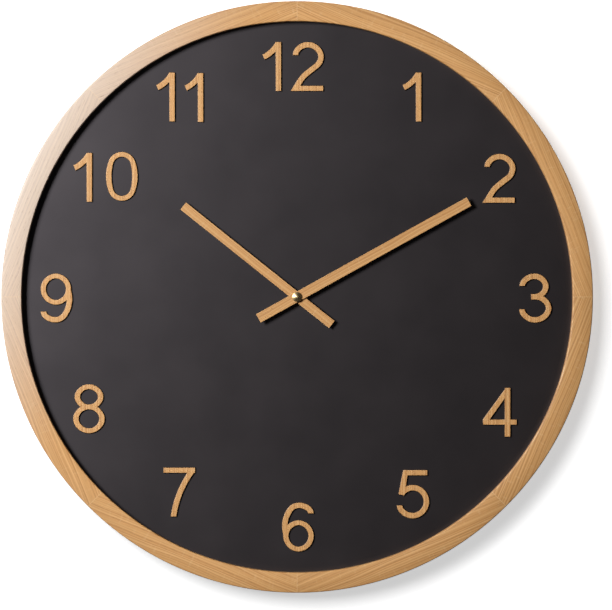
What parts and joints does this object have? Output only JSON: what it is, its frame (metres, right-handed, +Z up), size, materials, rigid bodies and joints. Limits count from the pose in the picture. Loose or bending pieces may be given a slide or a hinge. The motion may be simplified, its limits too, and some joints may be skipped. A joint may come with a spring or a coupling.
{
  "type": "wall clock",
  "caption": "Round wall clock: segmented oak ring frame, recessed black dial, applied oak numerals, oak bar hands, brass cap nut and a quartz movement with its gear train on the back.",
  "frame": {"origin": "centre of the clock's box: on the hands' axis, halfway through the frame's depth", "axes": "+X to the right of a reader facing the dial, +Y from the reader into the wall, +Z up"},
  "size_m": [0.6, 0.044, 0.6],
  "materials": {
    "oak": "oiled, satin",
    "dial_paint": "satin paint on fibreboard",
    "beech": "planed",
    "zinc_steel": "bright zinc plate",
    "brass": "turned",
    "black_nut": "black zinc plate",
    "rubber": "matt",
    "case_plastic": "moulded, fine texture",
    "inner_plastic": "moulded acetal",
    "copper": "enamelled copper wire",
    "iron": "soft iron lamination",
    "magnet": "sintered, dull",
    "board": "solder resist",
    "cell_jacket": "printed shrink sleeve"
  },
  "bodies": {
    "clock_case": {"frame_segment_1": "oak", "frame_segment_2": "oak", "frame_segment_3": "oak", "frame_segment_4": "oak", "frame_segment_5": "oak", "frame_segment_6": "oak", "frame_segment_7": "oak", "frame_segment_8": "oak", "frame_dowels": "beech", "dial_board": "dial_paint", "numeral_1": "oak", "numeral_2": "oak", "numeral_3": "oak", "numeral_4": "oak", "numeral_5": "oak", "numeral_6": "oak", "numeral_7": "oak", "numeral_8": "oak", "numeral_9": "oak", "numeral_10": "oak", "numeral_11": "oak", "numeral_12": "oak", "dial_clips": "zinc_steel", "dial_clip_screws": "zinc_steel", "hanger_plate": "zinc_steel", "hanger_screws": "zinc_steel", "threaded_neck": "brass", "dial_nut": "black_nut", "dial_washer": "black_nut", "movement_gasket": "rubber", "movement_case_front": "case_plastic", "movement_case_back": "case_plastic", "middle_plate": "inner_plastic", "train_plate": "inner_plastic", "stator": "iron", "coil_bobbin": "inner_plastic", "coil_winding": "copper", "circuit_board": "board", "driver_chip": "case_plastic", "quartz_crystal": "zinc_steel", "battery_contacts": "zinc_steel"},
    "minute_hand_set": {"minute_hand": "oak", "minute_hand_bushing": "brass", "hand_cap_nut": "brass", "minute_arbor": "brass"},
    "hour_hand_set": {"hour_hand": "oak", "hour_hand_bushing": "brass", "hour_wheel": "inner_plastic"},
    "minute_wheel_set": {"minute_wheel": "inner_plastic", "setting_knob": "case_plastic"},
    "centre_wheel": {"centre_wheel": "inner_plastic"},
    "third_wheel": {"third_wheel": "inner_plastic"},
    "seconds_wheel": {"seconds_wheel": "inner_plastic"},
    "fifth_wheel": {"fifth_wheel": "inner_plastic"},
    "rotor": {"rotor_pinion": "inner_plastic", "rotor_magnet": "magnet"},
    "battery": {"battery_cell": "cell_jacket"}
  },
  "joints": [
    {"name": "minute_hand_spin", "type": "hinge", "parent": "clock_case", "child": "minute_hand_set", "pos_m": [0, -0.0176, 0], "axis": [0, 1, 0], "continuous": true},
    {"name": "hour_hand_spin", "type": "hinge", "parent": "clock_case", "child": "hour_hand_set", "pos_m": [0, -0.0152, 0], "axis": [0, 1, 0], "continuous": true},
    {"name": "minute_wheel_spin", "type": "hinge", "parent": "clock_case", "child": "minute_wheel_set", "pos_m": [-0.00875, -0.0007, 0], "axis": [0, 1, 0], "continuous": true},
    {"name": "centre_wheel_spin", "type": "hinge", "parent": "clock_case", "child": "centre_wheel", "pos_m": [0, 0.00075, 0], "axis": [0, 1, 0], "continuous": true},
    {"name": "third_wheel_spin", "type": "hinge", "parent": "clock_case", "child": "third_wheel", "pos_m": [0.00837, 0.0035, -0.00148], "axis": [0, 1, 0], "continuous": true},
    {"name": "seconds_wheel_spin", "type": "hinge", "parent": "clock_case", "child": "seconds_wheel", "pos_m": [0, 0.0049, 0], "axis": [0, 1, 0], "continuous": true},
    {"name": "fifth_wheel_spin", "type": "hinge", "parent": "clock_case", "child": "fifth_wheel", "pos_m": [0.0035, 0.0064, 0.00606], "axis": [0, 1, 0], "continuous": true},
    {"name": "rotor_spin", "type": "hinge", "parent": "clock_case", "child": "rotor", "pos_m": [0.00062, 0.0042, 0.01105], "axis": [0, 1, 0], "continuous": true},
    {"name": "battery_slide", "type": "slide", "parent": "clock_case", "child": "battery", "axis": [0, 1, 0], "range_m": [0, 0.018]}
  ],
  "couplings": [
    {"joint": "hour_hand_spin", "follows": "minute_hand_spin", "ratio": 0.083333},
    {"joint": "minute_wheel_spin", "follows": "minute_hand_spin", "ratio": -0.33333},
    {"joint": "centre_wheel_spin", "follows": "minute_hand_spin", "ratio": 1},
    {"joint": "third_wheel_spin", "follows": "minute_hand_spin", "ratio": -7.5},
    {"joint": "seconds_wheel_spin", "follows": "minute_hand_spin", "ratio": 60},
    {"joint": "fifth_wheel_spin", "follows": "minute_hand_spin", "ratio": -360},
    {"joint": "rotor_spin", "follows": "minute_hand_spin", "ratio": 1800}
  ]
}
